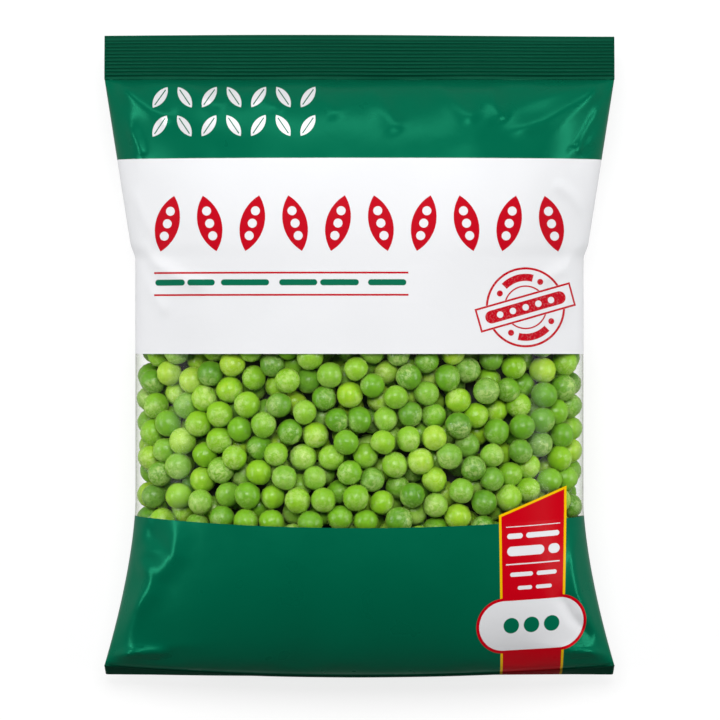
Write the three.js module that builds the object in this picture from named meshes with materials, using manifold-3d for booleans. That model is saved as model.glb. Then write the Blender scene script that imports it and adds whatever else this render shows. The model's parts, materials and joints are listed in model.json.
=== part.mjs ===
// A pillow bag of frozen peas, lying on its back with the printed front up.
// The bag is one piece of film: a tube pressed flat and crimped shut at both ends. The top seal
// lies flat, and the bottom seal is folded down over the end. A clear band runs round the middle,
// and the peas fill the bag out to the film there.
// X runs across the bag, Y runs up its print and Z up from the table. Sizes are in millimetres.
import * as THREE from "three";
import { mergeVertices } from "three/addons/utils/BufferGeometryUtils.js";
import Module from "manifold-3d";

// Driving dimensions
const FLAT_WIDTH = 270; // the empty tube, and so the width of both end seals
const LENGTH = 340; // from the cut edge of the top seal to the bottom fold
const THICKNESS = 84; // from the table to the crown
const BODY_WIDTH = 237; // the filled middle, where the sides draw in
const SEAL_DEPTH = 24; // crimped part of each end
const SEAL_THICKNESS = 1.2;
const SEAL_OVERHANG = 0.2; // how far the seals reach past the bag's ends at the sides
const END_THICKNESS = 0.8; // the bag's ends, inside the seals
const RIB_COUNT = 10; // ribs pressed across each seal
const RIB_PITCH = 1.9;
const RIB_HEIGHT = 0.5;
const RIB_MARGIN = 2; // plain film between the ribs and the bag
const WINDOW_TOP = 1; // where the clear band begins, on the centre line
const WINDOW_BOTTOM = -90;
const PEA_DIAMETER = 13.2;

// The skin of the filled bag
const SIDE_HEIGHT = 34; // height of the widest line above the table
const SEAL_HEIGHT = 31;
const FLATTENING = 2.5; // how far the underside would hang below the table if it were not pressed flat
const FRONT_SQUARENESS = 2.4; // exponents of the section: 2 is an ellipse, more is boxier
const BACK_SQUARENESS = 4.5;
const END_LENGTH = { top: 95, bottom: 91 }; // how far from each seal the bag reaches full thickness
const END_ROUNDNESS = 2.2;
const TOP_ROOT = LENGTH / 2 - SEAL_DEPTH; // where the top seal meets the bag
const BOTTOM_ROOT = -LENGTH / 2 + SEAL_THICKNESS;
const FLARE_TOP_FROM = 57; // the sides widen from here to the seals
const FLARE_BOTTOM_FROM = -83;
const FLARE_BEND = 1.55; // over 1 starts the bottom flare more gently
const PINCH = { depth: 2.2, from: 51, to: 59 }; // a small step in each side at the foot of the top flare
const EAR_RISE = 5.5; // how much further in the bottom fold is at its corners
const BOW_REACH = 85; // the lower half's lines take up that bow over this length
const SEAM_HALF_WIDTH = 7; // the lapped seam down the middle of the back
const SEAM_CHANNEL = { foot: 0.6, width: 3, depth: 0.8 };

// The pea band
const GAP = 0.3; // between neighbouring solids
const RECESS = PEA_DIAMETER + 1.3; // depth of the band's groove in the bag
const PEA_BED = 5; // how far below the film the bed between the peas lies
const PEA_LOWEST = 12; // height below which the film is pressed flat and no separate peas show
const PEA_SPREAD = 0.7; // variation of the pea diameter, from the smallest to the largest
const PEA_SPACING = 15.2;
const PEA_SHAKE = 0.9; // how far the peas start off their even pattern, in spacings
const PEA_SINK = 3.2; // the deepest that a pea of the outer layer lies below the film
const PEA_EDGE = 3; // peas whose centres lie further than this under the print are left out
const PEA_SEED = 20;

// Creases of the printed film: from the first point to the second, with their half width and height.
const CREASES = [
  { from: [131, 144], to: [96, 112], width: 5, height: 3.4 }, // top right corner
  { from: [128, 146], to: [70, 126], width: 6, height: 2.6 },
  { from: [124, 128], to: [112, 96], width: 4, height: -3 },
  { from: [-130, 144], to: [-100, 118], width: 7, height: 3 }, // top left corner
  { from: [-122, 126], to: [-116, 92], width: 4, height: 2.4 },
  { from: [40, 142], to: [4, 112], width: 9, height: -2.4 }, // soft hollows under the seal
  { from: [70, 140], to: [52, 104], width: 10, height: 2.2 },
  { from: [-118, 58], to: [-88, 30], width: 6, height: 2.4 }, // from the pinch at each side
  { from: [118, 56], to: [100, 22], width: 5, height: 2.4 },
  { from: [-116, -92], to: [-96, -112], width: 6, height: -3 }, // lower left
  { from: [-130, -160], to: [-104, -110], width: 6, height: 3.4 },
  { from: [-132, -162], to: [-74, -152], width: 5, height: 3.2 },
  { from: [116, -92], to: [108, -118], width: 5, height: -3 }, // lower right
  { from: [130, -160], to: [112, -116], width: 5, height: 3.2 },
  { from: [132, -162], to: [88, -154], width: 4, height: 3 },
];
const PUCKERS = [
  { wavelength: 61, phase: 0.4, height: 1.5 },
  { wavelength: 37, phase: 2.1, height: 1.1 },
];
const PUCKER_START = 8; // the puckers are full this far from the seal
const PUCKER_LENGTH = 26; // and die away over this length
const CREASE_TAPER = { lead: 0.12, rise: 0.3, tail: 1.1, fall: 0.75 }; // in lengths of the crease
const CREASE_SHARPNESS = 1.4;
const RELIEF_MARGIN = 0.1; // relief fades out over this share of the half width at the sides

const clamp01 = (t) => Math.min(1, Math.max(0, t));
const ease = (t) => clamp01(t) ** 2 * (3 - 2 * clamp01(t));
const mix = (a, b, t) => a + (b - a) * t;
const steps = (count) => Array.from({ length: count + 1 }, (_, i) => i / count);

// Half the bag's width at y: narrow in the middle, and the full width of the tube at both seals.
function halfWidth(y) {
  const seal = FLAT_WIDTH / 2 - SEAL_OVERHANG;
  const body = BODY_WIDTH / 2;
  if (y > PINCH.from) {
    const pinch = PINCH.depth * ease((y - PINCH.from) / (PINCH.to - PINCH.from));
    const up = clamp01((y - FLARE_TOP_FROM) / (TOP_ROOT - FLARE_TOP_FROM));
    return body + pinch + (seal - body - PINCH.depth) * up;
  }
  const down = clamp01((FLARE_BOTTOM_FROM - y) / (FLARE_BOTTOM_FROM - BOTTOM_ROOT));
  return mix(body, seal, down ** FLARE_BEND);
}

// 0 at the seals and 1 along the full middle.
function fullness(y) {
  const top = clamp01((TOP_ROOT - y) / END_LENGTH.top);
  const bottom = clamp01((y - BOTTOM_ROOT) / END_LENGTH.bottom);
  return Math.sqrt(1 - (1 - Math.min(top, bottom)) ** END_ROUNDNESS);
}

const sideHeight = (y) => mix(SEAL_HEIGHT, SIDE_HEIGHT, fullness(y));

// Lines across the print are straight in the upper half and bow down in the middle towards the bottom.
const bow = (y) => EAR_RISE * ease(-y / BOW_REACH);

function creaseHeight(crease, x, y) {
  const [ax, ay] = crease.from;
  const [bx, by] = crease.to;
  const length = Math.hypot(bx - ax, by - ay);
  const along = ((x - ax) * (bx - ax) + (y - ay) * (by - ay)) / length ** 2;
  const across = ((x - ax) * (by - ay) - (y - ay) * (bx - ax)) / length;
  const { lead, rise, tail, fall } = CREASE_TAPER;
  const taper = ease((along + lead) / rise) * ease((tail - along) / fall);
  return crease.height * taper * Math.exp(-(Math.abs(across / crease.width) ** CREASE_SHARPNESS));
}

// How far the front film stands out of the smooth pillow, along Z.
function frontRelief(x, y) {
  const fromSeal = Math.min(TOP_ROOT - y, y - BOTTOM_ROOT);
  const pucker = PUCKERS.reduce(
    (sum, p) => sum + p.height * Math.cos((2 * Math.PI * x) / p.wavelength + p.phase),
    0,
  );
  const fade = ease(fromSeal / PUCKER_START) * Math.exp(-fromSeal / PUCKER_LENGTH);
  return CREASES.reduce((sum, c) => sum + creaseHeight(c, x, y), pucker * fade);
}

// A point on the film, or inset below it. s runs from -1 to 1 across the bag, and front picks the side.
function skinPoint(front, s, y, inset = 0) {
  const a = halfWidth(y) - inset;
  const full = fullness(y);
  const x = a * s;
  const least = END_THICKNESS / 2;
  const middle = sideHeight(y);
  let z;
  if (front) {
    const rise = Math.max(least, (THICKNESS - SIDE_HEIGHT) * full - inset);
    z = middle + rise * Math.sqrt(1 - Math.abs(s) ** FRONT_SQUARENESS);
    if (inset === 0) z += frontRelief(x, y) * ease((1 - Math.abs(s)) / RELIEF_MARGIN);
  } else {
    const drop = Math.max(least, (SIDE_HEIGHT + FLATTENING) * full - inset);
    z = middle - drop * Math.sqrt(1 - Math.abs(s) ** BACK_SQUARENESS);
    z = Math.max(inset, z);
  }
  return new THREE.Vector3(x, y + bow(y) * (x / halfWidth(y)) ** 2, z);
}

// One closed loop of points round the bag at y: across the front, and back along the underside,
// where the inset may differ.
const FRONT_STEPS = 32;
const BACK_EDGES = [72, 56, 42, 30, 20, 11]; // degrees from the middle, whose sines are s
const UNDER_BLEND = 0.2; // the insets of the two sides meet over this share of the half width
function skinLoop(y, inset = 0, under = inset) {
  const loop = steps(FRONT_STEPS).map((t) => skinPoint(true, Math.sin((t - 0.5) * Math.PI), y, inset));
  const half = halfWidth(y) - inset;
  const edges = BACK_EDGES.map((angle) => ({ s: Math.sin((angle * Math.PI) / 180), raised: 0 }));
  const channel = inset === 0 ? SEAM_CHANNEL.depth * fullness(y) : 0;
  const seam = [
    { s: (SEAM_HALF_WIDTH + SEAM_CHANNEL.width) / half, raised: 0 },
    { s: (SEAM_HALF_WIDTH + SEAM_CHANNEL.foot) / half, raised: channel },
    { s: SEAM_HALF_WIDTH / half, raised: 0 },
  ];
  const right = [...edges, ...seam];
  const left = right.map(({ s, raised }) => ({ s: -s, raised })).reverse();
  [...right, ...left].forEach(({ s, raised }) => {
    const point = skinPoint(false, s, y, mix(inset, under, ease((1 - Math.abs(s)) / UNDER_BLEND)));
    point.z += raised;
    loop.push(point);
  });
  return loop;
}

// A closed solid through loops of equal length. ring joins the last loop back to the first.
function loft(loops, ring = false) {
  const count = loops[0].length;
  const positions = loops.flat().flatMap((p) => [p.x, p.y, p.z]);
  const faces = [];
  const rows = ring ? loops.length : loops.length - 1;
  for (let row = 0; row < rows; row++) {
    const here = row * count;
    const next = ((row + 1) % loops.length) * count;
    for (let i = 0; i < count; i++) {
      const j = (i + 1) % count;
      faces.push(here + i, next + i, next + j, here + i, next + j, here + j);
    }
  }
  if (!ring) {
    [0, (loops.length - 1) * count].forEach((start, end) => {
      const outline = loops[end ? loops.length - 1 : 0].map((p) => new THREE.Vector2(p.x, p.z));
      const facing = THREE.ShapeUtils.isClockWise(outline) ? 1 : 0;
      THREE.ShapeUtils.triangulateShape(outline, []).forEach(([a, b, c]) => {
        const [second, third] = facing === end ? [b, c] : [c, b];
        faces.push(start + a, start + second, start + third);
      });
    });
  }
  return solid(positions, faces);
}

const wasm = await Module();
wasm.setup();

function solid(positions, faces) {
  const vertProperties = new Float32Array(positions);
  const triVerts = new Uint32Array(faces);
  return new wasm.Manifold(new wasm.Mesh({ numProp: 3, vertProperties, triVerts }));
}

function solidOf(geometry) {
  ["normal", "uv"].forEach((name) => geometry.deleteAttribute(name));
  const merged = mergeVertices(geometry, 1e-4);
  return solid(merged.attributes.position.array, merged.index.array);
}

function geometryOf(made) {
  const mesh = made.getMesh();
  const geometry = new THREE.BufferGeometry();
  geometry.setAttribute("position", new THREE.BufferAttribute(mesh.vertProperties, 3));
  geometry.setIndex(new THREE.BufferAttribute(mesh.triVerts, 1));
  geometry.computeVertexNormals();
  return geometry;
}

// Depths down a seal from inside the bag's end outwards, with how far the film stands out at each.
const SEAL_ROOT = -1;
function ribProfile() {
  const rows = [[SEAL_ROOT, 0], [RIB_MARGIN, 0]];
  for (let rib = 0; rib < RIB_COUNT; rib++) {
    rows.push([RIB_MARGIN + (rib + 0.5) * RIB_PITCH, RIB_HEIGHT]);
    rows.push([RIB_MARGIN + (rib + 1) * RIB_PITCH, 0]);
  }
  rows.push([SEAL_DEPTH, 0]);
  return rows;
}

// A seal is a thin ribbed sheet. place(x, depth, lift) gives a point on it.
const SEAL_COLUMNS = 6;
function seal(place) {
  const xs = steps(SEAL_COLUMNS).map((t) => mix(-FLAT_WIDTH / 2, FLAT_WIDTH / 2, t));
  const loops = ribProfile().map(([depth, rib]) => [
    ...xs.map((x) => place(x, depth, rib + SEAL_THICKNESS / 2)),
    ...[...xs].reverse().map((x) => place(x, depth, rib - SEAL_THICKNESS / 2)),
  ]);
  const count = loops[0].length;
  const faces = [];
  const positions = loops.flat().flatMap((p) => [p.x, p.y, p.z]);
  for (let row = 0; row + 1 < loops.length; row++) {
    for (let i = 0; i < count; i++) {
      const j = (i + 1) % count;
      const [a, b] = [row * count, (row + 1) * count];
      faces.push(a + i, b + j, b + i, a + i, a + j, b + j);
    }
  }
  const last = (loops.length - 1) * count;
  for (let i = 0; i < SEAL_COLUMNS; i++) {
    const [p, q, r, t] = [i, i + 1, count - 2 - i, count - 1 - i];
    faces.push(p, t, r, p, r, q, last + p, last + q, last + r, last + p, last + r, last + t);
  }
  return solid(positions, faces);
}

// The top seal stands out from the end and droops a little.
const TOP_DROOP = 3;
function topSeal() {
  return seal((x, depth, lift) => {
    const droop = TOP_DROOP * (depth / SEAL_DEPTH) ** 2;
    return new THREE.Vector3(x, TOP_ROOT + depth, SEAL_HEIGHT - droop + lift);
  });
}

// The bottom seal hangs straight down over the end.
function bottomSeal() {
  const tip = -LENGTH / 2 + SEAL_THICKNESS / 2 + RIB_HEIGHT;
  return seal((x, depth, lift) => {
    const corner = (x / (FLAT_WIDTH / 2)) ** 2;
    const root = tip + EAR_RISE * corner;
    const y = mix(root, tip, clamp01(depth / SEAL_DEPTH));
    // Turned round in x, so that its faces still point outwards.
    return new THREE.Vector3(-x, y - lift, SEAL_HEIGHT + SEAL_THICKNESS / 2 - depth);
  });
}

// Rows of the bag, closer together towards the seals, where it curves most.
const endRows = (root, reach, count) =>
  steps(count).map((t) => root - reach * (1 - Math.cos((t * Math.PI) / 2)));

// Rows of the pea band, shared by the groove that it lies in.
const BAND_ROWS = steps(4).map((t) => mix(WINDOW_TOP - GAP, WINDOW_BOTTOM + GAP, t));

const END_ROWS = 9;
const WHITE_ROWS = [36, 20]; // further rows down to the pea band
function bag() {
  const top = endRows(TOP_ROOT, END_LENGTH.top, END_ROWS);
  const upper = [...top, ...WHITE_ROWS, WINDOW_TOP].map((y) => skinLoop(y));
  const core = [WINDOW_TOP, ...BAND_ROWS.slice(1, -1), WINDOW_BOTTOM].map((y) => skinLoop(y, RECESS));
  const bottom = endRows(BOTTOM_ROOT, -END_LENGTH.bottom, END_ROWS).filter((y) => y < WINDOW_BOTTOM - 2);
  const lower = [...bottom, WINDOW_BOTTOM].reverse().map((y) => skinLoop(y));
  return outerShell(loft([...upper, ...core, ...lower]).add(topSeal()).add(bottomSeal()));
}

// The ribs of the folded seal close small hollows against the bag, and only the outer surface is kept.
const outerShell = (made) => made.decompose().reduce((a, b) => (a.volume() > b.volume() ? a : b));

// A small repeatable random number generator, giving values from 0 to 1.
function randomFrom(seed) {
  let state = seed >>> 0;
  return () => {
    state = (Math.imul(state, 1664525) + 1013904223) >>> 0;
    return state / 4294967296;
  };
}

// The closed line round the bag that the centres of the peas lie on, as lengths along it.
function peaTrack() {
  const y = (WINDOW_TOP + WINDOW_BOTTOM) / 2;
  const inset = PEA_DIAMETER / 2 + GAP;
  const fine = steps(200).slice(0, -1);
  const stops = [
    ...fine.map((t) => ({ front: true, s: Math.sin((t - 0.5) * Math.PI) })),
    ...fine.map((t) => ({ front: false, s: Math.sin((0.5 - t) * Math.PI) })),
  ];
  let length = 0;
  stops.forEach((stop, i) => {
    const point = skinPoint(stop.front, stop.s, y, inset);
    if (i) length += point.distanceTo(stops[i - 1].point);
    Object.assign(stop, { point, length });
  });
  length += stops.at(-1).point.distanceTo(stops[0].point);
  return { stops, length };
}

// Peas of the outer layer: a loose triangular pattern, shaken and then pushed apart until none overlap.
const RELAX_ROUNDS = 40;
const ROW_SPACING = (PEA_SPACING * Math.sqrt(3)) / 2;
function scatterPeas(track) {
  const random = randomFrom(PEA_SEED);
  const columns = Math.round(track.length / PEA_SPACING);
  const pitch = track.length / columns;
  const reach = PEA_DIAMETER / 2;
  const [low, high] = [WINDOW_BOTTOM - reach, WINDOW_TOP + reach];
  const rows = Math.round((high - low) / ROW_SPACING);
  const peas = [];
  for (let row = 0; row <= rows; row++) {
    for (let column = 0; column < columns; column++) {
      const along = (column + (row % 2) / 2 + (random() - 0.5) * PEA_SHAKE) * pitch;
      const y = mix(low, high, row / rows) + (random() - 0.5) * PEA_SHAKE * pitch;
      const radius = (PEA_DIAMETER + (random() - 0.5) * 2 * PEA_SPREAD) / 2;
      peas.push({ along, y, radius, sink: PEA_SINK * random() ** 2 });
    }
  }
  for (let round = 0; round < RELAX_ROUNDS; round++) {
    for (let i = 0; i < peas.length; i++) {
      for (let j = i + 1; j < peas.length; j++) {
        const [a, b] = [peas[i], peas[j]];
        const dy = b.y - a.y;
        if (Math.abs(dy) > PEA_SPACING) continue;
        let dx = b.along - a.along;
        dx -= track.length * Math.round(dx / track.length);
        const reachBoth = a.radius + b.radius;
        const wanted = Math.sqrt(reachBoth ** 2 - (a.sink - b.sink) ** 2);
        const apart = Math.hypot(dx, dy);
        if (apart >= wanted || apart === 0) continue;
        const push = (0.5 * (wanted - apart)) / apart;
        a.along -= dx * push;
        a.y -= dy * push;
        b.along += dx * push;
        b.y += dy * push;
      }
    }
  }
  return peas;
}

// Where a pea of the outer layer lies, and which way its film is.
function placePea(track, pea) {
  const along = ((pea.along % track.length) + track.length) % track.length;
  const { front, s } = track.stops[track.stops.findLastIndex((stop) => stop.length <= along)];
  const depth = pea.radius + GAP + pea.sink;
  const centre = skinPoint(front, s, pea.y, depth);
  const outward = centre.clone().sub(skinPoint(front, s, pea.y, depth + 1)).normalize();
  return { ...pea, centre, outward };
}

// A pea has few sides, and its unseen inner half is a plain cone.
const PEA_SIDES = 7;
const PEA_RINGS = [34, 66, 100]; // degrees from the point nearest the film
const CONE_DEPTH = 0.5; // in radii
function peaBall(pea) {
  const profile = PEA_RINGS.map((degrees) => {
    const angle = (degrees * Math.PI) / 180;
    return new THREE.Vector2(Math.sin(angle), Math.cos(angle)).multiplyScalar(pea.radius);
  });
  profile.unshift(new THREE.Vector2(0, pea.radius));
  profile.push(new THREE.Vector2(0, -pea.radius * CONE_DEPTH));
  const ball = new THREE.LatheGeometry(profile.reverse(), PEA_SIDES);
  ball.rotateY(pea.along);
  ball.applyQuaternion(new THREE.Quaternion().setFromUnitVectors(new THREE.Vector3(0, 1, 0), pea.outward));
  ball.translate(...pea.centre);
  return solidOf(ball);
}

// The bed is a ring round the bag, and comes out to the film on the flat underside.
function peaBed() {
  const outside = BAND_ROWS.map((y) => skinLoop(y, PEA_BED, GAP));
  const inside = BAND_ROWS.map((y) => skinLoop(y, RECESS - GAP)).reverse();
  return loft([...outside, ...inside], true);
}

// The room that the clear band leaves, as its outline in plan carried up through the bag.
const EDGE_STEPS = 12;
function peaRoom() {
  const half = BODY_WIDTH / 2 + PEA_DIAMETER;
  const across = steps(EDGE_STEPS).map((t) => mix(-half, half, t));
  const edge = (y) => across.map((x) => new THREE.Vector2(x, y + bow(y) * (x / halfWidth(y)) ** 2));
  const outline = [...edge(WINDOW_BOTTOM + GAP), ...edge(WINDOW_TOP - GAP).reverse()];
  const depth = THICKNESS + 2 * PEA_DIAMETER;
  const room = new THREE.ExtrudeGeometry(new THREE.Shape(outline), { depth, bevelEnabled: false });
  return solidOf(room.translate(0, 0, -PEA_DIAMETER));
}

// Peas at the ends of the band are cut off where the printed film begins.
function peas() {
  const track = peaTrack();
  const shows = ({ y, centre }) =>
    y < WINDOW_TOP + PEA_EDGE && y > WINDOW_BOTTOM - PEA_EDGE && centre.z > PEA_LOWEST;
  const placed = scatterPeas(track).map((pea) => placePea(track, pea));
  const balls = placed.filter(shows).map(peaBall);
  return wasm.Manifold.union([peaBed(), ...balls]).intersect(peaRoom());
}

const FILM_GREEN = { color: 0x006245, roughness: 0.35, metalness: 0 };
const PEA_GREEN = { color: 0x78a62a, roughness: 0.5, metalness: 0 };

function meshOf(name, made, look) {
  const mesh = new THREE.Mesh(geometryOf(made), new THREE.MeshStandardMaterial(look));
  mesh.name = name;
  return mesh;
}

const group = new THREE.Group();
group.add(meshOf("bag", bag(), FILM_GREEN));
group.add(meshOf("peas", peas(), PEA_GREEN));

export default group;
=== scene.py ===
"""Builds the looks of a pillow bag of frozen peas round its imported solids.

The bag lies on its back. Its film is a tube, crimped shut at both ends: the top seal stands out flat,
and the bottom one is folded down over the end. A clear band round the middle shows the peas.
"""

import functools
import heapq
import json
import math
import operator

import bpy
import numpy as np
from bpy.props import FloatProperty, FloatVectorProperty, PointerProperty
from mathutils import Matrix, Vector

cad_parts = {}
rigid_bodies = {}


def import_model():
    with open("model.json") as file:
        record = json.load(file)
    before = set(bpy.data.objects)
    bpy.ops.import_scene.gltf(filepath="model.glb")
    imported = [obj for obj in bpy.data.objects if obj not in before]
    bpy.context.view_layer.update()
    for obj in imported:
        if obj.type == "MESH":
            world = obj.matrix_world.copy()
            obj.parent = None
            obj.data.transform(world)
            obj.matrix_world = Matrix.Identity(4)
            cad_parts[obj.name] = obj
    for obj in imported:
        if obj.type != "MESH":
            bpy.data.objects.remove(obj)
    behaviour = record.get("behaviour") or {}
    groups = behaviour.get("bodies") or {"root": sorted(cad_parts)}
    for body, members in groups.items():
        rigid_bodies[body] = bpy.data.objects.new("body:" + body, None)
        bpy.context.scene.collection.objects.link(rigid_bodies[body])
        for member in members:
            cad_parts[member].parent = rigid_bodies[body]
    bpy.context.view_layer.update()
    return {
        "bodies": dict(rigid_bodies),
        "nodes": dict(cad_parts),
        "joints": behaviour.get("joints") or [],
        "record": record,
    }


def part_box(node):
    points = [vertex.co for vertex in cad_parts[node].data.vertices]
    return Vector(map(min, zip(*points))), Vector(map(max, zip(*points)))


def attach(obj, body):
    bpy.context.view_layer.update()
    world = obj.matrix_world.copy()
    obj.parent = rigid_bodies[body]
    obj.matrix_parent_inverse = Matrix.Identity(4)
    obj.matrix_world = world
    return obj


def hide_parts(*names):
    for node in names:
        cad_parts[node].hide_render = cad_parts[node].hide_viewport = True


bl_info = {
    "name": "Frozen Pea Bag",
    "version": (1, 0, 0),
    "blender": (4, 5, 0),
    "location": "View3D > Sidebar > Pea Bag",
    "description": "Adds the film, the print and the peas of a pillow bag of frozen peas",
    "category": "Add Mesh",
}

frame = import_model()
BODY = "root"

# Shapes are worked out in millimetres, and meshes are in metres.
MM = 0.001
BAG_LOW, BAG_HIGH = (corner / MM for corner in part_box("bag"))
PEAS_LOW, PEAS_HIGH = (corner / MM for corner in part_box("peas"))

# The filled bag, as in the solids
FLAT_WIDTH = BAG_HIGH.x - BAG_LOW.x
LENGTH = BAG_HIGH.y - BAG_LOW.y
THICKNESS = 84.0
BODY_WIDTH = 237.0
SEAL_DEPTH = 24.0
RIB_COUNT = 10
RIB_PITCH = 1.9
RIB_MARGIN = 2.0
GAP = 0.3
LEAST_RISE = 0.4
WINDOW_TOP = PEAS_HIGH.y + GAP
WINDOW_BOTTOM = PEAS_LOW.y - GAP
SIDE_HEIGHT = 34.0
SEAL_HEIGHT = 31.0
FLATTENING = 2.5
FRONT_SQUARENESS = 2.4
BACK_SQUARENESS = 4.5
END_LENGTH = {"top": 95.0, "bottom": 91.0}
END_ROUNDNESS = 2.2
TOP_ROOT = LENGTH / 2 - SEAL_DEPTH
BOTTOM_ROOT = -LENGTH / 2 + 1.2
FLARE_TOP_FROM = 57.0
FLARE_BOTTOM_FROM = -83.0
FLARE_BEND = 1.55
PINCH = {"depth": 2.2, "from": 51.0, "to": 59.0}
EAR_RISE = 5.5
BOW_REACH = 85.0
SEAM_HALF_WIDTH = 7.0

# The film's own sheet. BACK_SHIFT sets the underside apart on the print map.
WALL = 0.25
SEAM_STEP = 0.5
SEAM_SLOPE = 5.0
SEAM_THICKNESS = 0.4
SHEET_THICKNESS = 0.6
RIB_HEIGHT = 0.45
TOP_DROOP = 3.0
FOLD_RADIUS = 0.8
BACK_SHIFT = 1000.0
INNER_STOP = 4.0

# How finely each piece is cut, and how it is welded, in metres, and smoothed, in degrees
FILM_COLUMNS = 160
UPPER_ROWS = 96
LOWER_ROWS = 58
WINDOW_ROWS = 51
FOLD_STEPS = 4
RIB_STEPS = 6
SEAM_COLUMNS = 13
SEAM_ROWS = (48, 30, 36)
CORE_COLUMNS = 40
CORE_ROWS = 24
FINE_CUTS = 3
COARSE_CUTS = 2
WELD_DISTANCE = 2e-6
SMOOTH_BELOW = 45

# Creases of the solids' film: from the first point to the second, with half width and height
CREASES = [
    ((131, 144), (96, 112), 5, 3.4),
    ((128, 146), (70, 126), 6, 2.6),
    ((124, 128), (112, 96), 4, -3),
    ((-130, 144), (-100, 118), 7, 3),
    ((-122, 126), (-116, 92), 4, 2.4),
    ((40, 142), (4, 112), 9, -2.4),
    ((70, 140), (52, 104), 10, 2.2),
    ((-118, 58), (-88, 30), 6, 2.4),
    ((118, 56), (100, 22), 5, 2.4),
    ((-116, -92), (-96, -112), 6, -3),
    ((-130, -160), (-104, -110), 6, 3.4),
    ((-132, -162), (-74, -152), 5, 3.2),
    ((116, -92), (108, -118), 5, -3),
    ((130, -160), (112, -116), 5, 3.2),
    ((132, -162), (88, -154), 4, 3),
]
PUCKERS = [(61, 0.4, 1.5), (37, 2.1, 1.1)]
PUCKER_START = 8.0
PUCKER_LENGTH = 26.0
CREASE_TAPER = (0.12, 0.3, 1.1, 0.75)
CREASE_SHARPNESS = 1.4
CREASE_SHARE = 0.6
RELIEF_MARGIN = 0.1


def clamp01(t):
    return np.clip(t, 0.0, 1.0)


def ease(t):
    t = clamp01(t)
    return t * t * (3 - 2 * t)


def mix(a, b, t):
    return a + (b - a) * t


def half_width(y):
    """Half the bag's width at y: narrow in the middle, and the tube's full width at both seals."""
    seal, body = FLAT_WIDTH / 2 - 0.2, BODY_WIDTH / 2
    pinch = PINCH["depth"] * ease((y - PINCH["from"]) / (PINCH["to"] - PINCH["from"]))
    up = clamp01((y - FLARE_TOP_FROM) / (TOP_ROOT - FLARE_TOP_FROM))
    above = body + pinch + (seal - body - PINCH["depth"]) * up
    down = clamp01((FLARE_BOTTOM_FROM - y) / (FLARE_BOTTOM_FROM - BOTTOM_ROOT))
    below = mix(body, seal, down**FLARE_BEND)
    return np.where(y > PINCH["from"], above, below)


def fullness(y):
    """0 at the seals and 1 along the full middle."""
    top = clamp01((TOP_ROOT - y) / END_LENGTH["top"])
    bottom = clamp01((y - BOTTOM_ROOT) / END_LENGTH["bottom"])
    return np.sqrt(1 - (1 - np.minimum(top, bottom)) ** END_ROUNDNESS)


def side_height(y):
    return mix(SEAL_HEIGHT, SIDE_HEIGHT, fullness(y))


def bow(y):
    """How much further up the lines across the lower half stand at the sides."""
    return EAR_RISE * ease(-y / BOW_REACH)


def crease(x, y, start, end, width, height):
    (ax, ay), (bx, by) = start, end
    length = math.hypot(bx - ax, by - ay)
    along = ((x - ax) * (bx - ax) + (y - ay) * (by - ay)) / length**2
    across = ((x - ax) * (by - ay) - (y - ay) * (bx - ax)) / length
    lead, rise, tail, fall = CREASE_TAPER
    taper = ease((along + lead) / rise) * ease((tail - along) / fall)
    return height * taper * np.exp(-(np.abs(across / width) ** CREASE_SHARPNESS))


def front_relief(x, y):
    """How far the front film stands out of the smooth pillow."""
    from_seal = np.minimum(TOP_ROOT - y, y - BOTTOM_ROOT)
    fade = ease(from_seal / PUCKER_START) * np.exp(-np.maximum(from_seal, 0) / PUCKER_LENGTH)
    total = sum(h * np.cos(2 * np.pi * x / wave + phase) for wave, phase, h in PUCKERS) * fade
    for one in CREASES:
        total = total + CREASE_SHARE * crease(x, y, *one)
    return total


def skin(front, s, y, inset=0.0, relief=True):
    """Points on the film, or inset below it. s runs from -1 to 1 across the bag."""
    s, y = np.broadcast_arrays(np.asarray(s, float), np.asarray(y, float))
    half = half_width(y) - inset
    full = fullness(y)
    x = half * s
    middle = side_height(y)
    if front:
        rise = np.maximum(LEAST_RISE, (THICKNESS - SIDE_HEIGHT) * full - inset)
        z = middle + rise * np.sqrt(1 - np.abs(s) ** FRONT_SQUARENESS)
        if relief:
            z = z + front_relief(x, y) * ease((1 - np.abs(s)) / RELIEF_MARGIN)
    else:
        drop = np.maximum(LEAST_RISE, (SIDE_HEIGHT + FLATTENING) * full - inset)
        z = middle - drop * np.sqrt(1 - np.abs(s) ** BACK_SQUARENESS)
        z = np.maximum(inset, z)
    return np.stack([x, y + bow(y) * (x / half_width(y)) ** 2, z], axis=-1)


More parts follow.
